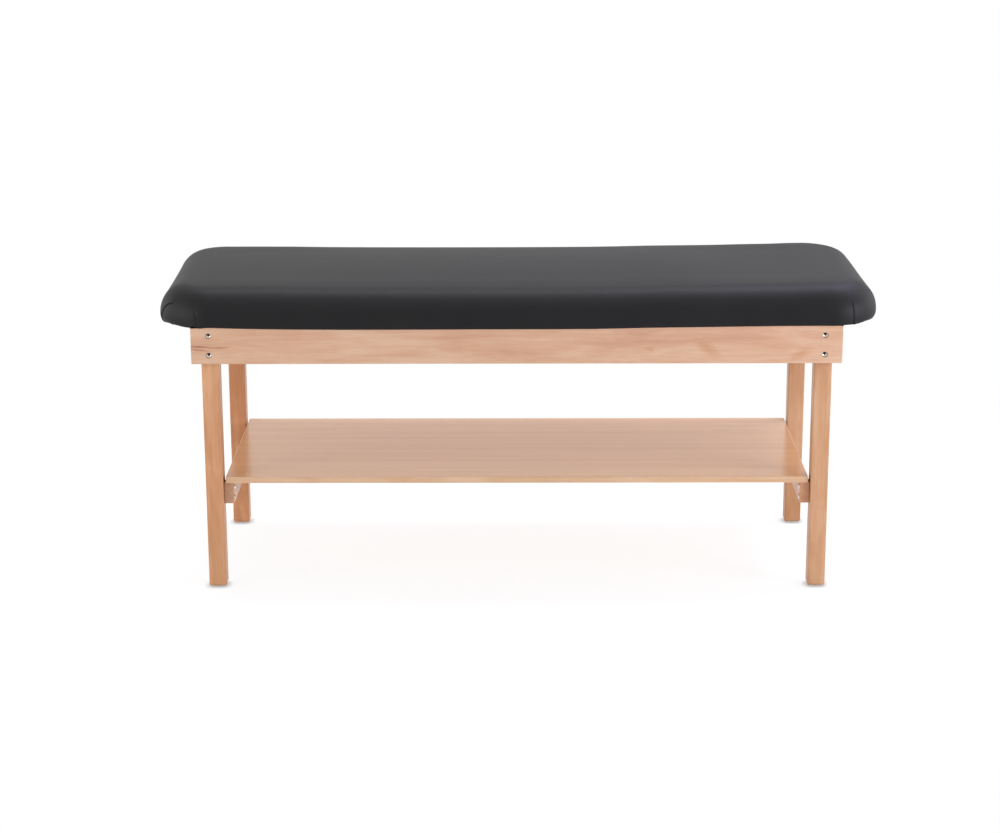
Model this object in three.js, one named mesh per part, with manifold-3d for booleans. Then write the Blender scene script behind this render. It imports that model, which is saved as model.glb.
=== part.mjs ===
// Examination table: an upholstered top on a bolted beech frame, with a storage shelf below.
// Millimetres. +X runs along the table to the right, +Y to the back and +Z up.
// The origin is on the floor, under the middle of the table.

import * as THREE from 'three';
import { mergeVertices } from 'three/addons/utils/BufferGeometryUtils.js';
import Module from 'manifold-3d';

const wasm = await Module();
wasm.setup();

// Driving dimensions of the table
const pad_length = 1832;
const pad_end_overhang = 93;
const pad_side_overhang = 6;
const frame_width = 634;
const frame_top = 701;
const shelf_top = 297;

// Boards of the frame
const apron_height = 97;
const apron_thickness = 22;
const leg_side = 45;
const stretcher_height = 57;
const stretcher_thickness = 25;
const stretcher_setback = 15;
const slat_width = 70;
const slat_thickness = 22;
const slat_spacing = 500;
const board_edge = 1.5;

// Joints cut in the long aprons
const rabbet_depth = 11;
const housing_depth = 8;

// Shelf
const shelf_thickness = 16;
const shelf_band_thickness = 2;
const shelf_setback = 7;
const shelf_end_play = 6;

// Legs and feet
const leg_edge_radius = 2.5;
const foot_round = 5;
const glide_radius = 12;
const glide_thickness = 3;
const glide_edge = 0.8;
const glide_nail_radius = 1.3;
const glide_nail_length = 18;

// Upholstered top
const cover_thickness = 1.5;
const deck_thickness = 18;
const foam_thickness = 68;
const pad_crown = 8;
const pad_top_rise = 2;
const pad_corner_radius = 126;
const pad_belly_height = 14;
const pad_tuck = 12;
const pad_roll = 70;
const cover_hem = 60;
const pad_spine_half_width = 30;
const pad_spine_radius = 20;

// Connector bolts and their cap nuts
const bolt_head_radius = 7;
const bolt_head_thickness = 2.6;
const bolt_head_edge = 0.9;
const bolt_shank_radius = 4;
const bolt_tip_edge = 1;
const bolt_socket_radius = 2.9;
const bolt_socket_depth = 4;
const nut_sleeve_radius = 5.5;
const nut_sleeve_length = 20;
const nut_end_wall = 4;
const nut_thread_reach = 12;
const counterbore_depth = 7;
const counterbore_play = 0.8;
const apron_bolt_rise = 23;
const apron_bolt_drop = 24;
const stretcher_bolt_spacing = 28;
const stretcher_bolt_reach = 32;

// Wood screws
const screw_head_radius = 4.2;
const screw_head_height = 3;
const screw_shank_radius = 2.2;
const screw_tip_length = 5;
const screw_place = 150;
const deck_screw_bite = 11;
const shelf_screw_bite = 10;
const shelf_screw_counterbore = 17;

// Gap between pieces that touch, past-the-face run of a cutter, and the extra depth of a blind hole
const fit_gap = 0.3;
const overrun = 1;
const hole_spare = 1.5;

// Numbers of facets
const edge_steps = 2;
const arris_steps = 2;
const pad_corner_steps = 7;
const tuck_steps = 3;
const roll_steps = 8;
const crown_steps = 2;
const turned_sides = 14;
const counterbore_sides = 28;
const screw_sides = 10;
const hex_sides = 6;

const quarter_turn = Math.PI / 2;
const half_turn = Math.PI;

// Heights and places that follow from the driving dimensions
const frame_length = pad_length - 2 * pad_end_overhang;
const apron_bottom = frame_top - apron_height;
const leg_bottom = glide_thickness + fit_gap;
const leg_x = frame_length / 2 - apron_thickness - fit_gap - leg_side / 2;
const leg_y = frame_width / 2 - apron_thickness - fit_gap - leg_side / 2;
const shelf_underside = shelf_top - shelf_thickness;
const shelf_length = 2 * (leg_x - leg_side / 2 - shelf_end_play);
const shelf_width = 2 * (leg_y + leg_side / 2 - shelf_setback);
const stretcher_x = leg_x - leg_side / 2 - fit_gap - stretcher_thickness / 2;
const stretcher_length = 2 * (leg_y + leg_side / 2 - stretcher_setback);
const stretcher_middle = shelf_underside - fit_gap - stretcher_height / 2;
const pad_width = frame_width + 2 * pad_side_overhang;
const pad_bottom = frame_top + fit_gap;
const deck_bottom = pad_bottom + cover_thickness + fit_gap;
const deck_top = deck_bottom + deck_thickness;
const pad_top = deck_top + foam_thickness + pad_crown;
const pad_belly = pad_bottom + pad_belly_height;
const pad_roll_top = pad_top - pad_top_rise;
const deck_inset = pad_tuck + cover_thickness;
const hole_radius = bolt_shank_radius + fit_gap;
const screw_hole_radius = screw_shank_radius + fit_gap;
const slat_places = [-slat_spacing, 0, slat_spacing];
const apron_bolt_heights = [apron_bottom + apron_bolt_rise, frame_top - apron_bolt_drop];
const stretcher_bolt_heights = [
  stretcher_middle - stretcher_bolt_spacing / 2,
  stretcher_middle + stretcher_bolt_spacing / 2,
];

// Finishes
const beech = new THREE.MeshStandardMaterial({ color: '#d0a078', roughness: 0.5, metalness: 0 });
const laminate = new THREE.MeshStandardMaterial({ color: '#cfae9d', roughness: 0.35, metalness: 0 });
const edge_band = new THREE.MeshStandardMaterial({ color: '#d8b494', roughness: 0.45, metalness: 0 });
const plywood = new THREE.MeshStandardMaterial({ color: '#c9a878', roughness: 0.7, metalness: 0 });
const vinyl = new THREE.MeshStandardMaterial({ color: '#2b2b2d', roughness: 0.45, metalness: 0 });
const foam = new THREE.MeshStandardMaterial({ color: '#d9cfa8', roughness: 0.95, metalness: 0 });
const steel = new THREE.MeshStandardMaterial({ color: '#b9bcc0', roughness: 0.3, metalness: 1 });
const nylon = new THREE.MeshStandardMaterial({ color: '#e6e3da', roughness: 0.5, metalness: 0 });

const table = new THREE.Group();

// Adds one named piece to the table, or to a group of it
function add_piece(name, geometry, material, place, turn = [0, 0, 0], parent = table) {
  const piece = new THREE.Mesh(geometry, material);
  piece.name = name;
  piece.position.set(...place);
  piece.rotation.set(...turn);
  parent.add(piece);
}

// Turns a closed geometry into a solid that can be cut
function solid_of(geometry) {
  const bare = geometry.clone();
  bare.deleteAttribute('normal');
  bare.deleteAttribute('uv');
  const merged = mergeVertices(bare);
  const corners = merged.index.array;
  const kept = [];
  for (let i = 0; i < corners.length; i += 3) {
    const [a, b, c] = corners.slice(i, i + 3);
    if (a !== b && b !== c && c !== a) {
      kept.push(a, b, c);
    }
  }
  const vertProperties = new Float32Array(merged.attributes.position.array);
  const triVerts = new Uint32Array(kept);
  return new wasm.Manifold(new wasm.Mesh({ numProp: 3, vertProperties, triVerts }));
}

// Cuts every tool out of a blank and gives back a geometry
function cut(blank, tools) {
  let solid = solid_of(blank);
  for (const tool of tools) {
    solid = solid.subtract(solid_of(tool));
  }
  const mesh = solid.getMesh();
  const geometry = new THREE.BufferGeometry();
  geometry.setAttribute('position', new THREE.BufferAttribute(mesh.vertProperties, 3));
  geometry.setIndex(new THREE.BufferAttribute(mesh.triVerts, 1));
  geometry.computeVertexNormals();
  return geometry;
}

// A board with eased edges, centred on its own middle
function board(size_x, size_y, size_z) {
  const ends = [-size_z / 2, size_z / 2];
  return eased_post([size_x / 2, size_y / 2], ends, board_edge, board_edge, board_edge);
}

// A post of rectangular section with round arrises, and its two ends eased by their own radii
function eased_post([half_x, half_y], [low, high], arris, low_ease, high_ease) {
  const level = (inset, height) => ring(half_x - inset, half_y - inset, arris, height, arris_steps);
  const lower = [];
  const upper = [];
  for (let i = 0; i <= edge_steps; i++) {
    const angle = (i / edge_steps) * quarter_turn;
    const inset_share = 1 - Math.sin(angle);
    const rise_share = 1 - Math.cos(angle);
    lower.push(level(low_ease * inset_share, low + low_ease * rise_share));
    upper.unshift(level(high_ease * inset_share, high - high_ease * rise_share));
  }
  return loft([...lower, ...upper]);
}

// A plain box between two corners, used as a cutter
function block(low, high) {
  const size = high.map((value, i) => value - low[i]);
  const middle = high.map((value, i) => (value + low[i]) / 2);
  return new THREE.BoxGeometry(...size).translate(...middle);
}

// A round bar, or a prism with few sides, that stands on its start and runs along +Z
function bar(radius, length, sides = turned_sides) {
  return new THREE.CylinderGeometry(radius, radius, length, sides)
    .rotateX(quarter_turn)
    .translate(0, 0, length / 2);
}

// A turned piece: the profile's pairs are a radius and a height along +Z
function turned(profile, sides) {
  const points = profile.map(([radius, height]) => new THREE.Vector2(radius, height));
  return new THREE.LatheGeometry(points, sides).rotateX(quarter_turn);
}

// One ring of a loft: a rectangle with round corners at a height
function ring(half_x, half_y, radius, height, steps) {
  const points = [];
  const corners = [[1, -1], [1, 1], [-1, 1], [-1, -1]];
  corners.forEach(([side_x, side_y], corner) => {
    for (let i = 0; i <= steps; i++) {
      const angle = (corner - 1 + i / steps) * quarter_turn;
      const x = side_x * (half_x - radius) + radius * Math.cos(angle);
      const y = side_y * (half_y - radius) + radius * Math.sin(angle);
      points.push([x, y, height]);
    }
  });
  return points;
}

// A closed skin through a row of rings, with a flat cap over the first ring and the last.
// Rings run upwards; a row that starts at the top is turned over.
function loft(rings, turned_over = false) {
  const count = rings[0].length;
  const half = count / 2;
  const faces = [];
  for (let level = 0; level < rings.length - 1; level++) {
    for (let i = 0; i < count; i++) {
      const a = level * count + i;
      const b = level * count + (i + 1) % count;
      faces.push([a, b, b + count], [a, b + count, a + count]);
    }
  }
  const last = (rings.length - 1) * count;
  for (let i = 0; i < half - 1; i++) {
    const near = [half / 2 - 1 - i, half / 2 - 2 - i].map((index) => (index + count) % count);
    const far = [half / 2 + i, half / 2 + i + 1];
    faces.push([near[0], far[1], far[0]], [near[0], near[1], far[1]]);
    faces.push([last + near[0], last + far[0], last + far[1]]);
    faces.push([last + near[0], last + far[1], last + near[1]]);
  }
  const order = turned_over ? faces.map(([a, b, c]) => [a, c, b]) : faces;
  const geometry = new THREE.BufferGeometry();
  geometry.setAttribute('position', new THREE.Float32BufferAttribute(rings.flat(2), 3));
  geometry.setIndex(order.flat());
  geometry.computeVertexNormals();
  return geometry;
}

// Connector bolt with a wide flat head: its head sits on z = 0 and its shank runs down
function connector_bolt(shank_length) {
  const blank = turned([
    [0, -shank_length],
    [bolt_shank_radius - bolt_tip_edge, -shank_length],
    [bolt_shank_radius, bolt_tip_edge - shank_length],
    [bolt_shank_radius, 0],
    [bolt_head_radius, 0],
    [bolt_head_radius, bolt_head_thickness - bolt_head_edge],
    [bolt_head_radius - bolt_head_edge, bolt_head_thickness],
    [0, bolt_head_thickness],
  ], turned_sides);
  return cut(blank, [hex_socket()]);
}

// The key socket in the face of a bolt or a cap nut
function hex_socket() {
  const key = bar(bolt_socket_radius, bolt_socket_depth + overrun, hex_sides);
  return key.translate(0, 0, bolt_head_thickness - bolt_socket_depth);
}

// Cap nut: the same head on a sleeve that the bolt's thread runs into
function cap_nut() {
  const blank = turned([
    [0, -nut_sleeve_length],
    [nut_sleeve_radius, -nut_sleeve_length],
    [nut_sleeve_radius, 0],
    [bolt_head_radius, 0],
    [bolt_head_radius, bolt_head_thickness - bolt_head_edge],
    [bolt_head_radius - bolt_head_edge, bolt_head_thickness],
    [0, bolt_head_thickness],
  ], turned_sides);
  const bore = bar(hole_radius, nut_sleeve_length - nut_end_wall + overrun);
  bore.translate(0, 0, -nut_sleeve_length - overrun);
  return cut(blank, [hex_socket(), bore]);
}

// Countersunk wood screw, point up: the head's flat face is on z = 0
function wood_screw(length) {
  return turned([
    [0, 0],
    [screw_head_radius, 0],
    [screw_shank_radius, screw_head_height],
    [screw_shank_radius, length - screw_tip_length],
    [0, length],
  ], screw_sides);
}

// The hole for such a screw, with its countersink
function screw_hole(length) {
  return turned([
    [0, -overrun],
    [screw_head_radius + fit_gap, -overrun],
    [screw_head_radius + fit_gap, fit_gap],
    [screw_hole_radius, screw_head_height + fit_gap],
    [screw_hole_radius, length],
    [0, length],
  ], screw_sides);
}

// Nylon glide on its nail: the flat foot is on z = 0
function foot_glide() {
  return turned([
    [0, 0],
    [glide_radius - glide_edge, 0],
    [glide_radius, glide_edge],
    [glide_radius, glide_thickness - glide_edge],
    [glide_radius - glide_edge, glide_thickness],
    [glide_nail_radius, glide_thickness],
    [glide_nail_radius, glide_thickness + glide_nail_length - glide_nail_radius],
    [0, glide_thickness + glide_nail_length],
  ], turned_sides);
}

// Long apron, seen as the front one: its inner face is at +Y and its bolt heads sink in at -Y
function long_apron() {
  const tools = [];
  const inner = apron_thickness / 2;
  const top = apron_height / 2;
  for (const side of [-1, 1]) {
    const shoulder = side * (frame_length / 2 - apron_thickness - fit_gap);
    const edges = [side * (frame_length / 2 + overrun), shoulder];
    const low = [Math.min(...edges), inner - rabbet_depth, -top - overrun];
    tools.push(block(low, [Math.max(...edges), inner + overrun, top + overrun]));
    for (const height of apron_bolt_heights) {
      const hole = bar(hole_radius, apron_thickness + 2 * overrun);
      const counterbore_radius = bolt_head_radius + counterbore_play;
      const counterbore = bar(counterbore_radius, counterbore_depth + overrun, counterbore_sides);
      for (const tool of [hole, counterbore]) {
        tool.rotateX(-quarter_turn);
        tools.push(tool.translate(side * leg_x, -inner - overrun, height - apron_bottom - top));
      }
    }
  }
  for (const place of slat_places) {
    const reach = slat_width / 2 + fit_gap;
    const low = [place - reach, inner - housing_depth, top - slat_thickness - fit_gap];
    tools.push(block(low, [place + reach, inner + overrun, top + overrun]));
  }
  return cut(board(frame_length, apron_thickness, apron_height), tools);
}

// Leg, seen as a front one: side is the way to the middle of the table along X
function leg(side) {
  const height = frame_top - leg_bottom;
  const half = leg_side / 2;
  const blank = eased_post([half, half], [0, height], leg_edge_radius, foot_round, board_edge);
  const nail_hole = bar(glide_nail_radius + fit_gap, glide_nail_length + hole_spare + overrun);
  const tools = [nail_hole.translate(0, 0, -overrun)];
  for (const bolt_height of apron_bolt_heights) {
    const hole = bar(hole_radius, leg_side + 2 * overrun).rotateX(-quarter_turn);
    tools.push(hole.translate(0, -half - overrun, bolt_height - leg_bottom));
    const sleeve = bar(nut_sleeve_radius + fit_gap, nut_sleeve_length + overrun).rotateX(-quarter_turn);
    tools.push(sleeve.translate(0, half - nut_sleeve_length, bolt_height - leg_bottom));
  }
  for (const bolt_height of stretcher_bolt_heights) {
    const hole = bar(hole_radius, stretcher_bolt_reach + hole_spare + overrun).rotateY(-side * quarter_turn);
    tools.push(hole.translate(side * (half + overrun), 0, bolt_height - leg_bottom));
  }
  return cut(blank, tools);
}

// End stretcher between a front and a back leg, which carries one end of the shelf
function stretcher() {
  const tools = [];
  const screw_seat = shelf_screw_counterbore - stretcher_height / 2;
  for (const side of [-1, 1]) {
    for (const height of stretcher_bolt_heights) {
      const hole = bar(hole_radius, stretcher_thickness + 2 * overrun).rotateY(quarter_turn);
      tools.push(hole.translate(-stretcher_thickness / 2 - overrun, side * leg_y, height - stretcher_middle));
    }
    const counterbore = bar(screw_head_radius + hole_spare, shelf_screw_counterbore + overrun);
    tools.push(counterbore.translate(0, side * screw_place, -stretcher_height / 2 - overrun));
    tools.push(screw_hole(stretcher_height).translate(0, side * screw_place, screw_seat));
  }
  return cut(board(stretcher_thickness, stretcher_length, stretcher_height), tools);
}

// Slat across the frame that the deck is screwed to from below
function cross_slat() {
  const length = frame_width - 2 * apron_thickness + 2 * (housing_depth - fit_gap);
  const tools = [-1, 1].map((side) => {
    return screw_hole(slat_thickness + overrun).translate(0, side * screw_place, -slat_thickness / 2);
  });
  return cut(board(slat_width, length, slat_thickness), tools);
}

// Shelf board, with blind holes for the screws that come up through the stretchers
function shelf() {
  const size_x = shelf_length - 2 * (shelf_band_thickness + fit_gap);
  const size_y = shelf_width - 2 * (shelf_band_thickness + fit_gap);
  const tools = [];
  for (const side_x of [-1, 1]) {
    for (const side_y of [-1, 1]) {
      const hole = bar(screw_hole_radius, shelf_screw_bite + hole_spare + overrun, screw_sides);
      hole.translate(side_x * stretcher_x, side_y * screw_place, -shelf_thickness / 2 - overrun);
      tools.push(hole);
    }
  }
  return cut(block(
    [-size_x / 2, -size_y / 2, -shelf_thickness / 2],
    [size_x / 2, size_y / 2, shelf_thickness / 2],
  ), tools);
}

// Section of the pad, from its underside round the belly and over the rolled edge to the top.
// Each point is an inset from the pad's widest outline and a height, drawn in by a skin's depth.
function pad_section(skin, first_tuck_step = 0) {
  const points = [];
  for (let i = first_tuck_step; i <= tuck_steps; i++) {
    const angle = quarter_turn * (1 - i / tuck_steps);
    points.push(pad_section_point(angle, pad_tuck, pad_belly_height, -1, skin));
  }
  const roll_height = pad_roll_top - pad_belly;
  for (let i = 1; i <= roll_steps; i++) {
    points.push(pad_section_point(quarter_turn * i / roll_steps, pad_roll, roll_height, 1, skin));
  }
  const flat = pad_width / 2 - pad_spine_half_width - pad_roll;
  for (let i = 1; i <= crown_steps; i++) {
    const share = i / crown_steps;
    const rise = pad_top_rise * (1 - (1 - share) ** 2);
    points.push([pad_roll + flat * share, pad_roll_top + rise - skin]);
  }
  return points;
}

// A point on the quarter ellipse above the belly (up = 1) or below it (up = -1)
function pad_section_point(angle, reach, height, up, skin) {
  const across = Math.cos(angle) / reach;
  const along = Math.sin(angle) / height;
  const normal = Math.hypot(across, along);
  const inset = reach * (1 - Math.cos(angle)) + skin * across / normal;
  return [inset, pad_belly + up * (height * Math.sin(angle) - skin * along / normal)];
}

// A ring of the pad at an inset from its widest outline
function pad_ring([inset, height]) {
  const radius = Math.max(pad_corner_radius - inset, pad_spine_radius);
  return ring(pad_length / 2 - inset, pad_width / 2 - inset, radius, height, pad_corner_steps);
}

// Vinyl cover: a shell over the foam whose hem is folded under the deck
function pad_cover() {
  const outside = pad_section(0).reverse();
  const inside = pad_section(cover_thickness);
  const hem = [[cover_hem, pad_bottom], [cover_hem, pad_bottom + cover_thickness]];
  return loft([...outside, ...hem, ...inside].map(pad_ring), true);
}

// Foam block: it fills the cover, and its skirt hangs over the edge of the deck
function pad_foam() {
  const skirt_inset = deck_inset - fit_gap;
  const outside = pad_section(cover_thickness + fit_gap, 1);
  const skirt_bottom = outside[0][1];
  const recess = [[skirt_inset, deck_top + fit_gap], [skirt_inset, skirt_bottom]];
  return loft([...recess, ...outside].map(pad_ring));
}

// Plywood deck under the foam, with blind holes for the screws in the slats
function pad_deck() {
  const blank = loft([pad_ring([deck_inset, deck_bottom]), pad_ring([deck_inset, deck_top])]);
  const tools = [];
  for (const place of slat_places) {
    for (const side of [-1, 1]) {
      const hole = bar(screw_hole_radius, deck_screw_bite + hole_spare + overrun, screw_sides);
      tools.push(hole.translate(place, side * screw_place, deck_bottom - overrun));
    }
  }
  return cut(blank, tools);
}

// The top
add_piece('pad_cover', pad_cover(), vinyl, [0, 0, 0]);
add_piece('pad_foam', pad_foam(), foam, [0, 0, 0]);
add_piece('pad_deck', pad_deck(), plywood, [0, 0, 0]);

// The apron frame
const apron_middle = apron_bottom + apron_height / 2;
const apron_y = (frame_width - apron_thickness) / 2;
const end_apron_x = (frame_length - apron_thickness) / 2;
const end_apron_length = frame_width - 2 * (apron_thickness - rabbet_depth + fit_gap);
const end_apron = board(apron_thickness, end_apron_length, apron_height);
add_piece('apron_front', long_apron(), beech, [0, -apron_y, apron_middle]);
add_piece('apron_back', long_apron(), beech, [0, apron_y, apron_middle], [0, 0, half_turn]);
add_piece('apron_left', end_apron, beech, [-end_apron_x, 0, apron_middle]);
add_piece('apron_right', end_apron.clone(), beech, [end_apron_x, 0, apron_middle]);

// The slats and the screws that hold the deck down on them
const slat_names = ['left', 'middle', 'right'];
const slat_underside = frame_top - slat_thickness;
const deck_screw_length = deck_bottom - slat_underside - fit_gap + deck_screw_bite;
slat_places.forEach((place, i) => {
  const name = slat_names[i];
  add_piece(`cross_slat_${name}`, cross_slat(), beech, [place, 0, frame_top - slat_thickness / 2]);
  for (const [row, side] of [['front', -1], ['back', 1]]) {
    const seat = [place, side * screw_place, slat_underside + fit_gap];
    add_piece(`deck_screw_${name}_${row}`, wood_screw(deck_screw_length), steel, seat);
  }
});

// The shelf, its edge bands and the screws that come up through the stretchers
const shelf_middle = shelf_top - shelf_thickness / 2;
const band_y = (shelf_width - shelf_band_thickness) / 2;
const band_x = (shelf_length - shelf_band_thickness) / 2;
const band_long_size = [shelf_length, shelf_band_thickness, shelf_thickness];
const band_end_length = shelf_width - 2 * (shelf_band_thickness + fit_gap);
const band_end_size = [shelf_band_thickness, band_end_length, shelf_thickness];
add_piece('shelf_board', shelf(), laminate, [0, 0, shelf_middle]);
for (const [name, side] of [['front', -1], ['back', 1]]) {
  const band = new THREE.BoxGeometry(...band_long_size);
  add_piece(`shelf_band_${name}`, band, edge_band, [0, side * band_y, shelf_middle]);
}
for (const [name, side] of [['left', -1], ['right', 1]]) {
  const band = new THREE.BoxGeometry(...band_end_size);
  add_piece(`shelf_band_${name}`, band, edge_band, [side * band_x, 0, shelf_middle]);
}

// The two ends of the table: stretcher, legs, glides, bolts and nuts.
// Each end is a group at one side, and each row of it is a front or a back leg.
const bolted_thickness = apron_thickness - counterbore_depth + leg_side;
const apron_bolt_length = bolted_thickness - nut_sleeve_length + nut_thread_reach + 3 * fit_gap;
const stretcher_bolt_length = stretcher_thickness + 2 * fit_gap + stretcher_bolt_reach;
const shelf_screw_seat = stretcher_middle - stretcher_height / 2 + shelf_screw_counterbore + fit_gap;
const shelf_screw_length = shelf_underside - shelf_screw_seat + shelf_screw_bite;
const levels = ['lower', 'upper'];

for (const [end, side] of [['left', -1], ['right', 1]]) {
  const end_turn = side < 0 ? 0 : half_turn;
  const stretcher_place = [side * stretcher_x, 0, stretcher_middle];
  add_piece(`stretcher_${end}`, stretcher(), beech, stretcher_place, [0, 0, end_turn]);
  for (const [row, away] of [['front', -1], ['back', 1]]) {
    const corner = new THREE.Group();
    corner.position.set(side * leg_x, away * leg_y, 0);
    corner.rotation.z = away < 0 ? 0 : half_turn;
    table.add(corner);
    const inwards = away < 0 ? -side : side;
    const name = `${row}_${end}`;
    add_piece(`leg_${name}`, leg(inwards), beech, [0, 0, leg_bottom], [0, 0, 0], corner);
    add_piece(`foot_glide_${name}`, foot_glide(), nylon, [0, 0, 0], [0, 0, 0], corner);
    const bolt_seat = counterbore_depth - leg_side / 2 - apron_thickness - 2 * fit_gap;
    const nut_seat = leg_side / 2 + fit_gap;
    const stretcher_seat = inwards * (leg_side / 2 + stretcher_thickness + 2 * fit_gap);
    levels.forEach((level, i) => {
      const height = apron_bolt_heights[i];
      const low = stretcher_bolt_heights[i];
      const bolt = connector_bolt(apron_bolt_length);
      const key = `${name}_${level}`;
      add_piece(`apron_bolt_${key}`, bolt, steel, [0, bolt_seat, height], [quarter_turn, 0, 0], corner);
      add_piece(`cap_nut_${key}`, cap_nut(), steel, [0, nut_seat, height], [-quarter_turn, 0, 0], corner);
      const short = connector_bolt(stretcher_bolt_length);
      const turn = [0, inwards * quarter_turn, 0];
      add_piece(`stretcher_bolt_${key}`, short, steel, [stretcher_seat, 0, low], turn, corner);
    });
    const screw_seat = [side * stretcher_x, away * screw_place, shelf_screw_seat];
    add_piece(`shelf_screw_${name}`, wood_screw(shelf_screw_length), steel, screw_seat);
  }
}

export default table;
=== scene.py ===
# Examination table: a padded vinyl top on a bolted beech frame, with a shelf between its legs.
# Metres, in the CAD model's frame: +X runs to the right along the table, +Y to the back, +Z up.

import math

import bmesh
import bpy
from mathutils import Matrix, Vector


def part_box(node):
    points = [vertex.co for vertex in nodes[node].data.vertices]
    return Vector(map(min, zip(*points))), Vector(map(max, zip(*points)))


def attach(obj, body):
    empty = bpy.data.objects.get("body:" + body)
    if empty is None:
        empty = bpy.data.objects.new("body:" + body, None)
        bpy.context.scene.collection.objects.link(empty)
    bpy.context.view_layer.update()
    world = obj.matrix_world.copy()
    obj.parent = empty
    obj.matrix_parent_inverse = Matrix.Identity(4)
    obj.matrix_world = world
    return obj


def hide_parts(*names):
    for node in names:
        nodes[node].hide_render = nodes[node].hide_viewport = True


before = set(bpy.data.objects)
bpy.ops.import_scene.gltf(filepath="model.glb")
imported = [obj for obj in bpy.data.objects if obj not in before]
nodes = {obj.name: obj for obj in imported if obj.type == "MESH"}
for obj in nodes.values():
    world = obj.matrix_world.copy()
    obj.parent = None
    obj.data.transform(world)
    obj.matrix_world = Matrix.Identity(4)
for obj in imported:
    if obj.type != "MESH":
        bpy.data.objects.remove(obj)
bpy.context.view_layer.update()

# Camera
# The photograph's view, found from the straight edges of the table: the lens is about 6.1 m in
# front of it, 2 m over the floor, and looks 15 degrees down.
image_width_px = 1000
focal_length_px = 2358.14
sensor_width_mm = 36
camera_place = (0.000676, -6.10648, 2.03513)
camera_pitch = math.radians(15.1646)
camera_yaw = math.radians(-0.4231)
camera_roll = math.radians(-0.1968)

lens = bpy.data.cameras.new("camera")
lens.sensor_width = sensor_width_mm
lens.lens = focal_length_px / image_width_px * sensor_width_mm
camera = bpy.data.objects.new("camera", lens)
heading = Matrix.Rotation(-camera_yaw, 4, "Z")
tilt = Matrix.Rotation(math.pi / 2 - camera_pitch, 4, "X")
roll = Matrix.Rotation(camera_roll, 4, "Z")
camera.matrix_world = Matrix.Translation(camera_place) @ heading @ tilt @ roll
bpy.context.scene.collection.objects.link(camera)
bpy.context.scene.camera = camera
bpy.context.scene.view_settings.view_transform = "Standard"


# Floor and studio light
# A white studio floor that fades into a white backdrop. What the camera and the polished faces see
# is white; the floor keeps part of the table's soft shadow, and has a painted contact shadow close round
# its feet.
floor_reach = 40
shadow_share = 0.16
shadow_length = 3.8
shadow_depth = 1.9
contact_reach = 0.018
ambient_level = 0.9


def linear(hex_colour):
    """Linear RGBA of an sRGB hex colour."""
    channels = [int(hex_colour[i:i + 2], 16) / 255 for i in (1, 3, 5)]
    return (*[c / 12.92 if c <= 0.04045 else ((c + 0.055) / 1.055) ** 2.4 for c in channels], 1)


def add_node(tree, kind, inputs=None, stops=None, **settings):
    """Adds a shader node. An input is a value, a hex colour or a socket; a stop is a place and a colour."""
    made = tree.nodes.new("ShaderNode" + kind)
    for name, value in settings.items():
        setattr(made, name, value)
    for name, value in (inputs or {}).items():
        if isinstance(value, bpy.types.NodeSocket):
            tree.links.new(value, made.inputs[name])
        else:
            made.inputs[name].default_value = linear(value) if isinstance(value, str) else value
    for i, (place, colour) in enumerate(stops or []):
        ramp = made.color_ramp.elements
        stop = ramp[i] if i < 2 else ramp.new(place)
        stop.position = place
        stop.color = linear(colour)
    return made.outputs


def new_material(name):
    """An empty node material and its tree."""
    material = bpy.data.materials.new(name)
    material.use_nodes = True
    material.node_tree.nodes.clear()
    return material, material.node_tree


def new_piece(name, mesh):
    """A piece at the origin, with its place in its mesh."""
    piece = bpy.data.objects.new(name, mesh)
    bpy.context.scene.collection.objects.link(piece)
    return piece


def seen_directly(tree):
    """1 for the rays that see the background itself: the camera's, mirrored and refracted ones."""
    path = add_node(tree, "LightPath")
    either = add_node(tree, "Math", {0: path["Is Camera Ray"], 1: path["Is Glossy Ray"]},
                      operation="MAXIMUM")["Value"]
    return add_node(tree, "Math", {0: either, 1: path["Is Transmission Ray"]},
                    operation="MAXIMUM")["Value"]


def white_floor():
    """White painted studio floor: matt, evenly lit, with the table's shadow and a painted contact shadow.
    """
    material, tree = new_material("studio_floor_white_paint")
    paint = add_node(tree, "BsdfDiffuse", {"Color": "#f4f4f4"})["BSDF"]
    lit = add_node(tree, "BsdfDiffuse", {"Color": "#ffffff"})["BSDF"]
    # Painted shadow: where ambient occlusion finds the feet close by, the floor's glow is darkened grey.
    open_share = add_node(tree, "AmbientOcclusion", {"Distance": contact_reach}, samples=6)["AO"]
    painted_contact_shadow = add_node(tree, "ValToRGB", {"Fac": open_share}, [
        (0.45, "#bbb8b5"), (0.95, "#ffffff")])["Color"]
    glow = add_node(tree, "Emission", {"Color": painted_contact_shadow, "Strength": 1.0})["Emission"]
    place = add_node(tree, "TexCoord")["Object"]
    near = add_node(tree, "Mapping", {
        "Vector": place, "Scale": (1 / shadow_length, 1 / shadow_depth, 0)})["Vector"]
    fade = add_node(tree, "TexGradient", {"Vector": near}, gradient_type="QUADRATIC_SPHERE")["Fac"]
    share = add_node(tree, "MapRange", {
        "Value": fade, "From Max": 0.25, "To Max": shadow_share})["Result"]
    seen = add_node(tree, "MixShader", {0: share, 1: glow, 2: lit})["Shader"]
    both = add_node(tree, "MixShader", {0: seen_directly(tree), 1: paint, 2: seen})["Shader"]
    add_node(tree, "OutputMaterial", {"Surface": both})
    return material


floor_mesh = bpy.data.meshes.new("floor")
floor_form = bmesh.new()
bmesh.ops.create_grid(floor_form, x_segments=1, y_segments=1, size=floor_reach)
floor_form.to_mesh(floor_mesh)
floor_form.free()
floor = bpy.data.objects.new("floor", floor_mesh)
floor.data.materials.append(white_floor())
bpy.context.scene.collection.objects.link(floor)

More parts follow.
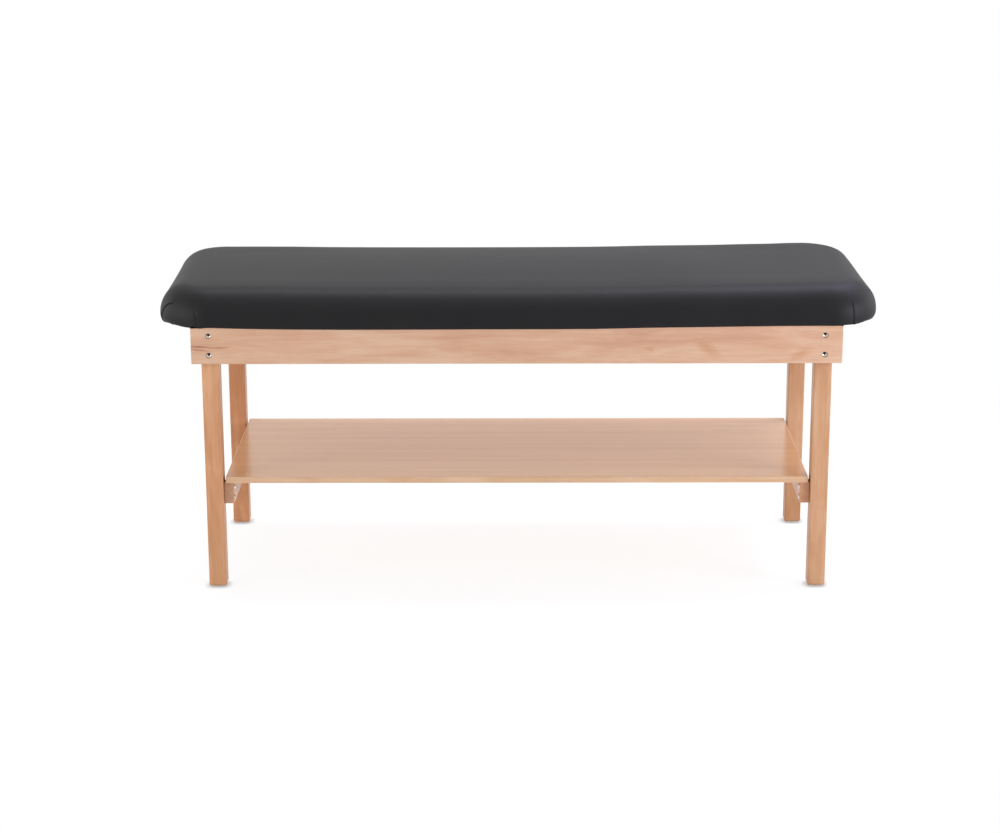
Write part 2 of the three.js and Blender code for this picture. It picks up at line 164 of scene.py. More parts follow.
world = bpy.data.worlds.new("studio")
bpy.context.scene.world = world
world.use_nodes = True
room = world.node_tree
room.nodes.clear()
backdrop = add_node(room, "Background", {"Color": "#ffffff", "Strength": 1.0})["Background"]
ambient = add_node(room, "Background", {
    "Color": "#fbfcff", "Strength": ambient_level})["Background"]
around = add_node(room, "MixShader", {0: seen_directly(room), 1: ambient, 2: backdrop})["Shader"]
add_node(room, "OutputWorld", {"Surface": around})

# Each softbox: its name, place, the point it faces, its size, its power in watts and its colour
softboxes = [
    ("softbox_over", (0.5, 0.45, 3.4), (0.5, 0.12, 0.7), (4.4, 0.86), 86, "#fdfbff"),
    ("softbox_front_left", (-3.6, -2.0, 1.0), (-0.9, 0.0, 0.72), (1.4, 1.2), 42, "#ffffff"),
    ("softbox_front_right", (3.6, -2.0, 1.0), (0.9, 0.0, 0.72), (1.4, 1.2), 98, "#eff0ff"),
    ("softbox_over_right", (1.8, 0.6, 3.1), (0.7, 0.0, 0.7), (1.6, 1.6), 38, "#cac2ff"),
    ("softbox_left_end", (-3.6, 0.6, 1.15), (0.0, 0.0, 0.3), (2.4, 1.7), 22, "#f8f0f4"),
    ("softbox_right_end", (3.4, 0.8, 1.25), (0.0, 0.0, 0.3), (2.4, 1.7), 23, "#f8f0f4"),
]
for name, place, target, (width, height), watts, tint in softboxes:
    lamp = bpy.data.lights.new(name, "AREA")
    lamp.color = linear(tint)[:3]
    lamp.shape = "RECTANGLE"
    lamp.size = width
    lamp.size_y = height
    lamp.energy = watts
    holder = bpy.data.objects.new(name, lamp)
    aim = (Vector(target) - Vector(place)).to_track_quat("-Z", "Y")
    holder.matrix_world = Matrix.Translation(place) @ aim.to_matrix().to_4x4()
    bpy.context.scene.collection.objects.link(holder)


# Beech boards of the frame
# Aprons, legs, stretchers and slats: solid European beech, planed, sanded and clear lacquered to a
# satin, so the pale pinkish wood shows soft streaks along the grain and short darker ray flecks.
ring_spacing = 0.0034
streak_width = 0.011
cloud_width = 0.045
fibre_width = 0.0012
fleck_length = 0.0035
fleck_width = 0.0005
sway_width = 0.05
sway_reach = 0.022
mark_fray = 0.9
grain_stretch = 0.06
cloud_stretch = 0.22
tone_start = -0.08
cloud_share = 0.62
streak_share = 0.42
ring_share = 0.035
fibre_share = 0.08
end_grain_share = 0.3
fleck_strength = 0.24
wave_period = 2 * math.pi / 20

grain_axes = {"X": (1, 0, 0), "Y": (0, 1, 0), "Z": (0, 0, 1)}
grain_turns = {"X": (0, 0, 0), "Y": (0, 0, -math.pi / 2), "Z": (0, math.pi / 2, 0)}


def beech(name, along, colours, shift, marks=()):
    """Lacquered beech with its grain along an axis; the colours run from dark streaks to light wood.

    Clouds, streaks, rings and fibres add up to the tone. A mark is a soft-edged patch: its middle,
    half its size, its lean, its colour and its strength. End grain is darker, and the flecks are rays.
    """
    material, tree = new_material(name)
    place = add_node(tree, "TexCoord")["Object"]
    turned = add_node(tree, "Mapping", {
        "Vector": place, "Rotation": grain_turns[along], "Location": shift})["Vector"]
    drawn = add_node(tree, "Mapping", {
        "Vector": turned, "Scale": (grain_stretch, 1, 1)})["Vector"]
    sway = add_node(tree, "TexNoise", {
        "Vector": drawn, "Scale": 1 / sway_width, "Detail": 2.0, "Roughness": 0.5})["Color"]
    swayed = add_node(tree, "VectorMath", {
        0: sway, 1: (sway_reach,) * 3, 2: drawn}, operation="MULTIPLY_ADD")["Vector"]
    cloud_space = add_node(tree, "Mapping", {
        "Vector": turned, "Scale": (cloud_stretch, 1, 1)})["Vector"]
    clouds = add_node(tree, "TexNoise", {
        "Vector": cloud_space, "Scale": 1 / cloud_width, "Detail": 3.0, "Roughness": 0.6,
        "Distortion": 0.5})["Fac"]
    streaks = add_node(tree, "TexNoise", {
        "Vector": swayed, "Scale": 1 / streak_width, "Detail": 4.0, "Roughness": 0.62})["Fac"]
    rings = add_node(tree, "TexWave", {
        "Vector": swayed, "Scale": wave_period / ring_spacing, "Distortion": 3.0, "Detail": 3.0,
        "Detail Scale": 1.5, "Detail Roughness": 0.6},
        wave_type="RINGS", rings_direction="X", wave_profile="SIN")["Fac"]
    fibres = add_node(tree, "TexNoise", {
        "Vector": drawn, "Scale": 1 / fibre_width, "Detail": 2.0, "Roughness": 0.6})["Fac"]
    tone = tone_start
    for pattern, share in (
            (clouds, cloud_share), (streaks, streak_share), (rings, ring_share), (fibres, fibre_share)):
        tone = add_node(tree, "Math", {0: pattern, 1: share, 2: tone}, operation="MULTIPLY_ADD")["Value"]
    dark, middle, light = colours
    colour = add_node(tree, "ValToRGB", {"Fac": tone}, [
        (0.30, dark), (0.62, light), (0.47, middle)])["Color"]
    for centre, half_size, lean, mark_colour, strength in marks:
        local = add_node(tree, "Mapping", {
            "Vector": place, "Location": centre, "Rotation": (0, lean, 0), "Scale": half_size},
            vector_type="TEXTURE")["Vector"]
        rough = add_node(tree, "VectorMath", {
            0: sway, 1: (mark_fray,) * 3, 2: local}, operation="MULTIPLY_ADD")["Vector"]
        centred = add_node(tree, "VectorMath", {
            0: rough, 1: (mark_fray / 2,) * 3}, operation="SUBTRACT")["Vector"]
        ball = add_node(tree, "TexGradient", {"Vector": centred}, gradient_type="SPHERICAL")["Fac"]
        share = add_node(tree, "Math", {0: ball, 1: strength}, operation="MULTIPLY")["Value"]
        colour = add_node(tree, "Mix", {
            0: share, 6: colour, 7: mark_colour}, data_type="RGBA")[2]
    normal = add_node(tree, "NewGeometry")["True Normal"]
    facing = add_node(tree, "VectorMath", {
        0: normal, 1: grain_axes[along]}, operation="DOT_PRODUCT")["Value"]
    cut_across = add_node(tree, "Math", {0: facing}, operation="ABSOLUTE")["Value"]
    end_share = add_node(tree, "MapRange", {
        "Value": cut_across, "From Min": 0.6, "From Max": 0.9, "To Max": end_grain_share})["Result"]
    colour = add_node(tree, "Mix", {
        0: end_share, 6: colour, 7: "#7b5236"}, data_type="RGBA")[2]
    fleck_space = add_node(tree, "Mapping", {
        "Vector": turned, "Scale": (1 / fleck_length, 1 / fleck_width, 1 / fleck_width)})["Vector"]
    fleck_noise = add_node(tree, "TexNoise", {
        "Vector": fleck_space, "Scale": 1.0, "Detail": 1.0, "Roughness": 0.5})["Fac"]
    flecks = add_node(tree, "ValToRGB", {"Fac": fleck_noise}, [
        (0.60, "#000000"), (0.72, "#ffffff")])["Color"]
    fleck_share = add_node(tree, "Math", {0: flecks, 1: fleck_strength}, operation="MULTIPLY")["Value"]
    colour = add_node(tree, "Mix", {
        0: fleck_share, 6: colour, 7: "#8a5432"}, data_type="RGBA")[2]
    gloss = add_node(tree, "MapRange", {"Value": streaks, "To Min": 0.36, "To Max": 0.5})["Result"]
    relief = add_node(tree, "Math", {0: fibres, 1: flecks}, operation="SUBTRACT")["Value"]
    bump = add_node(tree, "Bump", {"Height": relief, "Strength": 0.25, "Distance": 0.00008})["Normal"]
    shader = add_node(tree, "BsdfPrincipled", {
        "Base Color": colour, "Roughness": gloss, "Normal": bump, "IOR": 1.5,
        "Specular IOR Level": 0.35, "Coat Weight": 0.12, "Coat Roughness": 0.3})["BSDF"]
    add_node(tree, "OutputMaterial", {"Surface": shader})
    return material


def dress(name, material):
    """Gives a CAD node that keeps its shape its real finish."""
    nodes[name].data.materials.clear()
    nodes[name].data.materials.append(material)


# Each board has its own tone. The back right leg is paler where the shelf meets it and darker at its
# foot, and painted shade darkens it under the apron; the front apron has dark streaks at its left end
# and three browner patches.
apron_colours = ("#a97f65", "#b58e71", "#bc9b80")
stretcher_colours = {
    "stretcher_left": ("#a9795a", "#b58764", "#bc9472"),
    "stretcher_right": ("#b27a57", "#be8861", "#c5956f"),
}
slat_colours = ("#a27552", "#af8460", "#ba9473")
leg_colours = {
    "leg_front_left": ("#a37049", "#b07e57", "#bc8e68"),
    "leg_front_right": ("#9c6e4a", "#a97c57", "#b48c69"),
    "leg_back_left": ("#a56f3f", "#b37c54", "#c19167"),
    "leg_back_right": ("#a27648", "#b0845f", "#bd9a75"),
}
leg_tone_and_shade_marks = {"leg_back_right": [
    ((0.757, 0.275, 0.04), (0.12, 0.12, 0.30), 0.0, "#94602f", 0.8),
    ((0.757, 0.275, 0.30), (0.12, 0.12, 0.14), 0.0, "#bb9674", 0.9),
    # Painted shade: the apron's shadow on the leg, painted as a darker patch.
    ((0.757, 0.275, 0.47), (0.12, 0.12, 0.07), 0.0, "#a87a50", 0.6),
]}
apron_marks = [
    ((-0.800, -0.317, 0.6490), (0.044, 0.03, 0.0034), 0.05, "#82462c", 1.0),
    ((-0.752, -0.317, 0.6465), (0.034, 0.03, 0.0026), -0.04, "#8c5038", 1.0),
    ((-0.803, -0.317, 0.6410), (0.034, 0.03, 0.0030), 0.10, "#8c5038", 0.8),
    ((0.480, -0.317, 0.6450), (0.046, 0.03, 0.0180), 0.55, "#9c6230", 0.50),
    ((0.338, -0.317, 0.6420), (0.015, 0.03, 0.0085), 0.0, "#9a6a44", 0.45),
    ((0.716, -0.317, 0.6280), (0.038, 0.03, 0.0150), -0.45, "#a46a38", 0.5),
]
dress("apron_front", beech("beech_apron_front", "X", apron_colours, (0.31, 0.07, 0.11), apron_marks))
dress("apron_back", beech("beech_apron_back", "X", apron_colours, (1.73, 0.42, 0.23)))
for i, name in enumerate(("apron_left", "apron_right")):
    dress(name, beech(f"beech_{name}", "Y", apron_colours, (0.4 + i, 0.13, 0.52)))
for i, name in enumerate(("cross_slat_left", "cross_slat_middle", "cross_slat_right")):
    dress(name, beech(f"beech_{name}", "Y", slat_colours, (2.2 + i, 0.31, 0.17)))
for i, (name, colours) in enumerate(stretcher_colours.items()):
    dress(name, beech(f"beech_{name}", "Y", colours, (4.1 + i, 0.22, 0.09)))
for i, (name, colours) in enumerate(leg_colours.items()):
    shift = (5.3 + i, 0.11 + 0.07 * i, 0.29)
    dress(name, beech(f"beech_{name}", "Z", colours, shift, leg_tone_and_shade_marks.get(name, ())))


# Connector bolts and cap nuts
# M8 furniture connector bolts with a wide flat head, dished round its hex socket, and the cap nuts
# that they screw into: cold-headed steel, bright zinc plated, with painted shade in the dish and in the key
# socket.
bolt_head_radius = 0.0074
bolt_head_thickness = 0.0026
bolt_head_edge = 0.0006
dish_radius = 0.0060
dish_depth = 0.0020
bolt_shank_radius = 0.004
bolt_tip = 0.001
socket_radius = 0.0030
socket_depth = 0.0030
nut_sleeve_radius = 0.0055
head_sides = 48
smooth_under = math.radians(35)
zinc_grit = 0.0012
dish_painted_shade = 0.94


def zinc_steel(name, painted_shade_strength=0.0):
    """Bright zinc plate with a fine uneven bloom, a warm painted reflection, and painted shade facing down.
    """
    material, tree = new_material(name)
    place = add_node(tree, "TexCoord")["Object"]
    bloom = add_node(tree, "TexNoise", {
        "Vector": place, "Scale": 1 / zinc_grit, "Detail": 3.0, "Roughness": 0.6})["Fac"]
    # The plate's warm pinkish tint is a painted reflection of the beech round it.
    colour = add_node(tree, "ValToRGB", {"Fac": bloom}, [(0.3, "#c2b4a9"), (0.7, "#e8dacf")])["Color"]
    normal = add_node(tree, "NewGeometry")["True Normal"]
    upright = add_node(tree, "SeparateXYZ", {"Vector": normal})["Z"]
    # Painted shade: faces turned down get dark brown, standing in for the shade in the dish's upper part.
    painted_shade_share = add_node(tree, "MapRange", {
        "Value": upright, "From Min": 0.15, "From Max": -0.3, "To Min": 0.0,
        "To Max": painted_shade_strength})["Result"]
    colour = add_node(tree, "Mix", {0: painted_shade_share, 6: colour, 7: "#3c2316"}, data_type="RGBA")[2]
    gloss = add_node(tree, "MapRange", {"Value": bloom, "To Min": 0.16, "To Max": 0.34})["Result"]
    bump = add_node(tree, "Bump", {"Height": bloom, "Strength": 0.2, "Distance": 0.00003})["Normal"]
    shader = add_node(tree, "BsdfPrincipled", {
        "Base Color": colour, "Roughness": gloss, "Normal": bump, "Metallic": 1.0})["BSDF"]
    add_node(tree, "OutputMaterial", {"Surface": shader})
    return material


def socket_painted_shade_steel():
    """The same plate inside a key socket, painted a dark grey brown as the socket's shade."""
    material, tree = new_material("steel_zinc_plated_socket_painted_shade")
    # Painted shade: the dark grey brown stands in for the shade deep in the socket.
    shader = add_node(tree, "BsdfPrincipled", {
        "Base Color": "#38271c", "Roughness": 0.55, "Metallic": 0.4})["BSDF"]
    add_node(tree, "OutputMaterial", {"Surface": shader})
    return material


zinc = zinc_steel("steel_bright_zinc_plated")
zinc_with_painted_shade = zinc_steel("steel_zinc_plated_dish_painted_shade", dish_painted_shade)
socket_painted_shade = socket_painted_shade_steel()


def face_at(form, height):
    """The flat face of a form at a height."""
    return min(form.faces, key=lambda face: (
        abs(face.calc_center_median().z - height), -face.calc_area()))


def raise_face(form, face, lift):
    """Extrudes a face along Z and gives back the moved face."""
    made = bmesh.ops.extrude_discrete_faces(form, faces=[face])["faces"][0]
    bmesh.ops.translate(form, verts=made.verts, vec=(0, 0, lift))
    return made


def shrink_face(form, face, share):
    """Draws a face in to a share of its size with a new band of faces round it."""
    made = bmesh.ops.extrude_discrete_faces(form, faces=[face])["faces"][0]
    bmesh.ops.scale(form, verts=made.verts, vec=(share, share, 1))
    return made


def round_blank(radius, thickness, sides):
    """A round disc that stands on z = 0."""
    form = bmesh.new()
    bmesh.ops.create_circle(form, cap_ends=True, segments=sides, radius=radius)
    raised = bmesh.ops.extrude_face_region(form, geom=list(form.faces))["geom"]
    bmesh.ops.translate(form, verts=[part for part in raised if isinstance(part, bmesh.types.BMVert)],
                        vec=(0, 0, thickness))
    bmesh.ops.recalc_face_normals(form, faces=form.faces)
    return form


def lies_within(face, radius):
    """Whether a face lies inside a radius round the Z axis, give or take its rounding."""
    return max(vert.co.xy.length for vert in face.verts) < radius * 1.01


def connector(shank_radius, shank_length):
    """A flat round head on z = 0 with its dish and hex socket, and the shank or sleeve under it."""
    form = round_blank(bolt_head_radius, bolt_head_thickness, head_sides)
    rim = [e for e in form.edges if all(v.co.z > bolt_head_thickness / 2 for v in e.verts)]
    bmesh.ops.bevel(form, geom=rim, offset=bolt_head_edge, offset_type="OFFSET", segments=3, profile=0.5,
                    affect="EDGES", material=-1)
    land = face_at(form, bolt_head_thickness)
    dish = shrink_face(form, land, dish_radius / (bolt_head_radius - bolt_head_edge))
    socket = shrink_face(form, dish, socket_radius / dish_radius)
    bmesh.ops.translate(form, verts=socket.verts, vec=(0, 0, -dish_depth))
    for vert in socket.verts:
        off_flat = math.atan2(vert.co.y, vert.co.x) % (math.pi / 3) - math.pi / 6
        reach = socket_radius * math.cos(math.pi / 6) / math.cos(off_flat)
        vert.co.xy = vert.co.xy.normalized() * reach
    raise_face(form, socket, -socket_depth)
    # The dish takes the material with painted shade on its downward faces; the socket takes the one painted
    # dark as shade.
    for face in form.faces:
        if lies_within(face, dish_radius):
            face.material_index = 2 if lies_within(face, socket_radius) else 1
    neck = shrink_face(form, face_at(form, 0), shank_radius / bolt_head_radius)
    shank = raise_face(form, neck, bolt_tip - shank_length)
    end = shrink_face(form, shank, (shank_radius - bolt_tip) / shank_radius)
    bmesh.ops.translate(form, verts=end.verts, vec=(0, 0, -bolt_tip))
    return form


def add_stand_in(name, node, form, materials):
    """Makes a form a piece with smooth faces and its materials, which stands for a CAD node."""
    bmesh.ops.recalc_face_normals(form, faces=form.faces)
    mesh = bpy.data.meshes.new(name)
    form.to_mesh(mesh)
    form.free()
    for material in materials:
        mesh.materials.append(material)
    mesh.shade_smooth()
    mesh.set_sharp_from_angle(angle=smooth_under)
    piece = new_piece(name, mesh)
    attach(piece, "root")
    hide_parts(node)


def fixed_along(node, axis, sense):
    """Where a fastener's head sits: its node's middle, with the head's outer face at the box's end."""
    low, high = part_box(node)
    seat = (low + high) / 2
    end = high if sense > 0 else low
    seat["XYZ".index(axis)] = end["XYZ".index(axis)] - sense * bolt_head_thickness
    return seat


def add_fastener(name, node, form, axis, sense):
    """Turns a form that stands on +Z to its axis, puts it in its seat and lets it stand for the node."""
    facing = Vector([sense if a == axis else 0 for a in "XYZ"])
    turn = facing.to_track_quat("Z", "X").to_matrix().to_4x4()
    place = Matrix.Translation(fixed_along(node, axis, sense))
    bmesh.ops.transform(form, matrix=place @ turn, verts=form.verts)
    add_stand_in(name, node, form, (zinc, zinc_with_painted_shade, socket_painted_shade))


for end, side in (("left", -1), ("right", 1)):
    for row, away in (("front", -1), ("back", 1)):
        for level in ("lower", "upper"):
            key = f"{row}_{end}_{level}"
            for kind, axis, sense, radius in (
                    ("apron_bolt", "Y", away, bolt_shank_radius),
                    ("cap_nut", "Y", -away, nut_sleeve_radius),
                    ("stretcher_bolt", "X", -side, bolt_shank_radius)):
                low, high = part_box(f"{kind}_{key}")
                length = (high - low)["XYZ".index(axis)] - bolt_head_thickness
                form = connector(radius, length)
                add_fastener(f"{kind}_piece_{key}", f"{kind}_{key}", form, axis, sense)


# Wood screws
# Countersunk zinc-plated wood screws with a cross recess, driven from below: their heads show flush
# with the undersides of the slats and at the bottom of the counterbores in the stretchers.
screw_head_radius = 0.0042
screw_head_height = 0.0030
screw_core_radius = 0.0020
screw_point = 0.0050
recess_reach = 0.0023
recess_arm = 0.0008
recess_depth = 0.0016
recess_taper = 0.55
point_share = 0.05


def wood_screw(length):
    """A countersunk screw with its flat head down on z = 0 and its point up."""
    form = round_blank(screw_head_radius, screw_head_height, head_sides)
    neck = face_at(form, screw_head_height)
    bmesh.ops.scale(form, verts=neck.verts, vec=(*[screw_core_radius / screw_head_radius] * 2, 1))
    shank = raise_face(form, neck, length - screw_head_height - screw_point)
    tip = shrink_face(form, shank, point_share)
    bmesh.ops.translate(form, verts=tip.verts, vec=(0, 0, screw_point))
    recess = shrink_face(form, face_at(form, 0), recess_reach / screw_head_radius)
    for vert in recess.verts:
        off_arm = (math.atan2(vert.co.y, vert.co.x) + math.pi / 4) % (math.pi / 2) - math.pi / 4
        slope = max(abs(math.sin(off_arm)), recess_arm / recess_reach)
        vert.co.xy = vert.co.xy.normalized() * (recess_arm / slope)
    bottom = raise_face(form, recess, recess_depth)
    bmesh.ops.scale(form, verts=bottom.verts, vec=(recess_taper, recess_taper, 1))
    # The cross recess takes the socket's material, painted dark as shade.
    for face in form.faces:
        if lies_within(face, recess_reach) and face.calc_center_median().z < screw_head_height:
            face.material_index = 1
    return form


def add_upright(name, node, form, materials):
    """Stands a form on its node's lowest point and lets it stand for the node."""
    low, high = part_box(node)
    middle = (low + high) / 2
    bmesh.ops.translate(form, verts=form.verts, vec=(middle.x, middle.y, low.z))
    add_stand_in(name, node, form, materials)


for name in [n for n in nodes if n.startswith(("deck_screw", "shelf_screw"))]:
    low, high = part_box(name)
    form = wood_screw((high - low).z)
    add_upright(name.replace("screw", "screw_piece"), name, form, [zinc, socket_painted_shade])


# Shelf
# A 16 mm board faced with a beech-look laminate, pressed smooth with a semi-gloss, and thin beech
# veneer glued round its edges; the two end bands are painted paler as a highlight of the light on
# their rounded edges.
laminate_line = 0.0022
laminate_cloud = 0.030
laminate_stretch = 0.03


def beech_laminate():
    """Printed beech laminate: a fine even straight grain under a semi-gloss melamine face."""
    material, tree = new_material("laminate_printed_beech_semi_gloss")
    place = add_node(tree, "TexCoord")["Object"]
    drawn = add_node(tree, "Mapping", {"Vector": place, "Scale": (laminate_stretch, 1, 1)})["Vector"]
    lines = add_node(tree, "TexNoise", {
        "Vector": drawn, "Scale": 1 / laminate_line, "Detail": 3.0, "Roughness": 0.6})["Fac"]
    clouds = add_node(tree, "TexNoise", {
        "Vector": drawn, "Scale": 1 / laminate_cloud, "Detail": 2.0, "Roughness": 0.5})["Fac"]
    tone = add_node(tree, "Math", {0: lines, 1: 0.5, 2: clouds}, operation="MULTIPLY_ADD")["Value"]
    colour = add_node(tree, "ValToRGB", {"Fac": tone}, [(0.50, "#cf9e72"), (1.00, "#d9aa7f")])["Color"]
    bump = add_node(tree, "Bump", {"Height": lines, "Strength": 0.15, "Distance": 0.00005})["Normal"]
    shader = add_node(tree, "BsdfPrincipled", {
        "Base Color": colour, "Roughness": 0.2, "Normal": bump, "IOR": 1.55})["BSDF"]
    add_node(tree, "OutputMaterial", {"Surface": shader})
    return material


dress("shelf_board", beech_laminate())
band_colours = ("#af8965", "#b99674", "#c0a181")
# Painted highlight: the end bands' colours are paler to stand in for light caught by their edges.
end_band_highlit_colours = ("#d6ab86", "#e2ba96", "#e9c4a2")
for i, edge in enumerate(("front", "back")):
    shift = (9.2 + i, 0.3, 0.4)
    dress(f"shelf_band_{edge}", beech(f"beech_veneer_edge_{edge}", "X", band_colours, shift))
for i, edge in enumerate(("left", "right")):
    shift = (11.4 + i, 0.2, 0.5)
    dress(f"shelf_band_{edge}", beech(f"beech_veneer_edge_{edge}", "Y", end_band_highlit_colours, shift))


# Foot glides
# Round nail-on glides of natural moulded nylon under the legs, slightly scuffed where they slide. A
# dimple in the face shows where the nail went in.
glide_radius = 0.012
glide_thickness = 0.003
glide_rounding = 0.0013
glide_sides = 64
glide_dimple_radius = 0.0034
glide_dimple_depth = 0.0007
glide_dimple_taper = 0.7
glide_nail_radius = 0.0013
scuff_width = 0.0015


def glide_nylon():
    """Natural nylon, injection moulded: a dull milky white with a fine scuffed face."""
    material, tree = new_material("nylon_natural_moulded")
    place = add_node(tree, "TexCoord")["Object"]
    scuffs = add_node(tree, "TexNoise", {
        "Vector": place, "Scale": 1 / scuff_width, "Detail": 4.0, "Roughness": 0.7})["Fac"]
    colour = add_node(tree, "ValToRGB", {"Fac": scuffs}, [
        (0.35, "#c9c5ba"), (0.65, "#e2dfd5")])["Color"]
    bump = add_node(tree, "Bump", {"Height": scuffs, "Strength": 0.3, "Distance": 0.00005})["Normal"]
    shader = add_node(tree, "BsdfPrincipled", {
        "Base Color": colour, "Roughness": 0.5, "Normal": bump, "IOR": 1.53})["BSDF"]
    add_node(tree, "OutputMaterial", {"Surface": shader})
    return material


def foot_glide(height):
    """A glide on z = 0 with rounded edges and the dimple of its nail, and the nail above it."""
    form = round_blank(glide_radius, glide_thickness, glide_sides)
    rim = [e for e in form.edges if abs(e.verts[0].co.z - e.verts[1].co.z) < glide_rounding]
    bmesh.ops.bevel(form, geom=rim, offset=glide_rounding, offset_type="OFFSET", segments=4, profile=0.5,
                    affect="EDGES", material=-1)
    flat_radius = glide_radius - glide_rounding
    dimple = shrink_face(form, face_at(form, 0), glide_dimple_radius / flat_radius)
    bottom = shrink_face(form, dimple, glide_dimple_taper)
    bmesh.ops.translate(form, verts=bottom.verts, vec=(0, 0, glide_dimple_depth))
    root = shrink_face(form, face_at(form, glide_thickness), glide_nail_radius / flat_radius)
    shank = raise_face(form, root, height - glide_thickness - glide_nail_radius)
    point = shrink_face(form, shank, point_share)
    bmesh.ops.translate(form, verts=point.verts, vec=(0, 0, glide_nail_radius))
    for face in form.faces:
        if lies_within(face, glide_nail_radius):
            face.material_index = 1
    return form


nylon = glide_nylon()
for name in [n for n in nodes if n.startswith("foot_glide")]:
    low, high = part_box(name)
    form = foot_glide((high - low).z)
    add_upright(name.replace("glide", "glide_piece"), name, form, [nylon, zinc])


# Deck
# The base under the foam: 18 mm birch plywood of thirteen thin plies, sawn, sanded and left raw, and
# screwed to the slats from below.
ply_thickness = 0.0014
peel_width = 0.009
peel_stretch = 0.12


def birch_plywood():
    """Raw sanded birch plywood: pale faces with a wavy peeled grain, and its plies on the edges."""
    material, tree = new_material("plywood_birch_sanded")
    place = add_node(tree, "TexCoord")["Object"]
    drawn = add_node(tree, "Mapping", {"Vector": place, "Scale": (peel_stretch, 1, 1)})["Vector"]
    grain = add_node(tree, "TexNoise", {
        "Vector": drawn, "Scale": 1 / peel_width, "Detail": 4.0, "Roughness": 0.6,
        "Distortion": 0.6})["Fac"]
    face = add_node(tree, "ValToRGB", {"Fac": grain}, [(0.35, "#c8a478"), (0.65, "#dcc096")])["Color"]
    plies = add_node(tree, "TexWave", {
        "Vector": place, "Scale": wave_period / (2 * ply_thickness), "Distortion": 0.4, "Detail": 1.0},
        wave_type="BANDS", bands_direction="Z", wave_profile="SIN")["Fac"]
    edge = add_node(tree, "ValToRGB", {"Fac": plies}, [(0.4, "#a77a50"), (0.6, "#d7b88c")])["Color"]
    normal = add_node(tree, "NewGeometry")["True Normal"]
    upright = add_node(tree, "SeparateXYZ", {"Vector": normal})["Z"]
    flat = add_node(tree, "Math", {0: upright}, operation="ABSOLUTE")["Value"]
    colour = add_node(tree, "Mix", {0: flat, 6: edge, 7: face}, data_type="RGBA")[2]
    bump = add_node(tree, "Bump", {"Height": grain, "Strength": 0.3, "Distance": 0.0001})["Normal"]
    shader = add_node(tree, "BsdfPrincipled", {
        "Base Color": colour, "Roughness": 0.72, "Normal": bump, "IOR": 1.5})["BSDF"]
    add_node(tree, "OutputMaterial", {"Surface": shader})
    return material


dress("pad_deck", birch_plywood())


# Upholstered top
# Foam on the deck under one sheet of smooth matt black vinyl, pulled down over the rolled edge,
# folded at the corners and stapled under the deck. The sheet is cut flat, then wrapped.
cover_low, cover_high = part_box("pad_cover")
corner_radius = 0.126
edge_roll = 0.070
belly_height = 0.022
top_rise = 0.002
crown_rise = 0.0012
edge_droop = 0.008
side_tuck = 0.0026
side_return = 0.0052
end_tuck = 0.012
end_return = 0.026
hem_width = 0.060
hem_thickness = 0.0012
deck_clearance = 0.0003
sheet_cell = 0.009
top_steps = 12
arc_steps = 40
end_turns = (math.radians(40), math.radians(75))
level_slack = 0.0001

core_half_length = cover_high.x - corner_radius
core_half_width = cover_high.y - corner_radius
lower_edge = cover_low.z - edge_droop
belly_level = lower_edge + belly_height
roll_level = cover_high.z - top_rise


def section_points(tuck, turned_back):
    """Insets and heights round the edge: the top, the roll, the droop under the belly and the hem."""
    points = []
    for k in range(top_steps, -1, -1):
        inset = edge_roll + (corner_radius - edge_roll) * k / top_steps
        share = (inset - edge_roll) / (cover_high.y - edge_roll)
        points.append((inset, roll_level + top_rise * (1 - (1 - share) ** 2)))
    arcs = [(0, edge_roll, roll_level, range(arc_steps - 1, -1, -1)),
            (0, tuck, lower_edge, range(1, arc_steps + 1)),
            (turned_back, tuck - turned_back, lower_edge, range(arc_steps - 1, -1, -1))]
    middles = (belly_level, belly_level, cover_low.z)
    for (start, reach, end_level, steps), middle in zip(arcs, middles):
        for k in steps:
            turn = math.pi / 2 * k / arc_steps
            inset = start + reach * (1 - math.cos(turn))
            points.append((inset, middle + (end_level - middle) * math.sin(turn)))
    points.append((hem_width, cover_low.z))
    return points


def unrolled(points):
    """How far each point of a section lies from its first, along the sheet."""
    lengths = [0]
    for a, b in zip(points, points[1:]):
        lengths.append(lengths[-1] + math.dist(a, b))
    return lengths


side_section = section_points(side_tuck, side_return)
end_section = section_points(end_tuck, end_return)
section_lengths = unrolled(side_section)
sheet_drop = section_lengths[-1]
lowest_length = section_lengths[side_section.index(min(side_section, key=lambda point: point[1]))]


def section_at(distance, end_share):
    """Inset and height at a distance along the sheet; the share runs from a long side to an end."""
    low, high = 0, len(section_lengths) - 1
    while high - low > 1:
        middle = (low + high) // 2
        if section_lengths[middle] <= distance:
            low = middle
        else:
            high = middle
    span = section_lengths[high] - section_lengths[low]
    share = min(max((distance - section_lengths[low]) / span, 0), 1)
    side = [a + (b - a) * share for a, b in zip(side_section[low], side_section[high])]
    end = [a + (b - a) * share for a, b in zip(end_section[low], end_section[high])]
    return [a + (b - a) * end_share for a, b in zip(side, end)]


def eased(value, low, high):
    """0 below a range, 1 above it and a smooth step between."""
    share = min(max((value - low) / (high - low), 0), 1)
    return share * share * (3 - 2 * share)


def along(table, place):
    """A smooth curve through the pairs of a table, read at a place."""
    place = min(max(place, table[0][0]), table[-1][0])
    k = max(i for i in range(len(table) - 1) if table[i][0] <= place)
    (x0, y0), (x1, y1) = table[k], table[k + 1]
    before, after = table[max(k - 1, 0)], table[min(k + 2, len(table) - 1)]
    start = (y1 - before[1]) / (x1 - before[0])
    end = (after[1] - y0) / (after[0] - x0)
    span = x1 - x0
    share = (place - x0) / span
    return (y0 * (1 + 2 * share) * (1 - share) ** 2 + start * span * share * (1 - share) ** 2
            + y1 * share ** 2 * (3 - 2 * share) - end * span * share ** 2 * (1 - share))


def corner_turn(over_u, over_v):
    """The way a point of the sheet faces: 0 to the table's end, a quarter turn to its front or back."""
    if over_u >= over_v:
        return math.pi / 4 * over_v / over_u
    return math.pi / 2 - math.pi / 4 * over_u / over_v


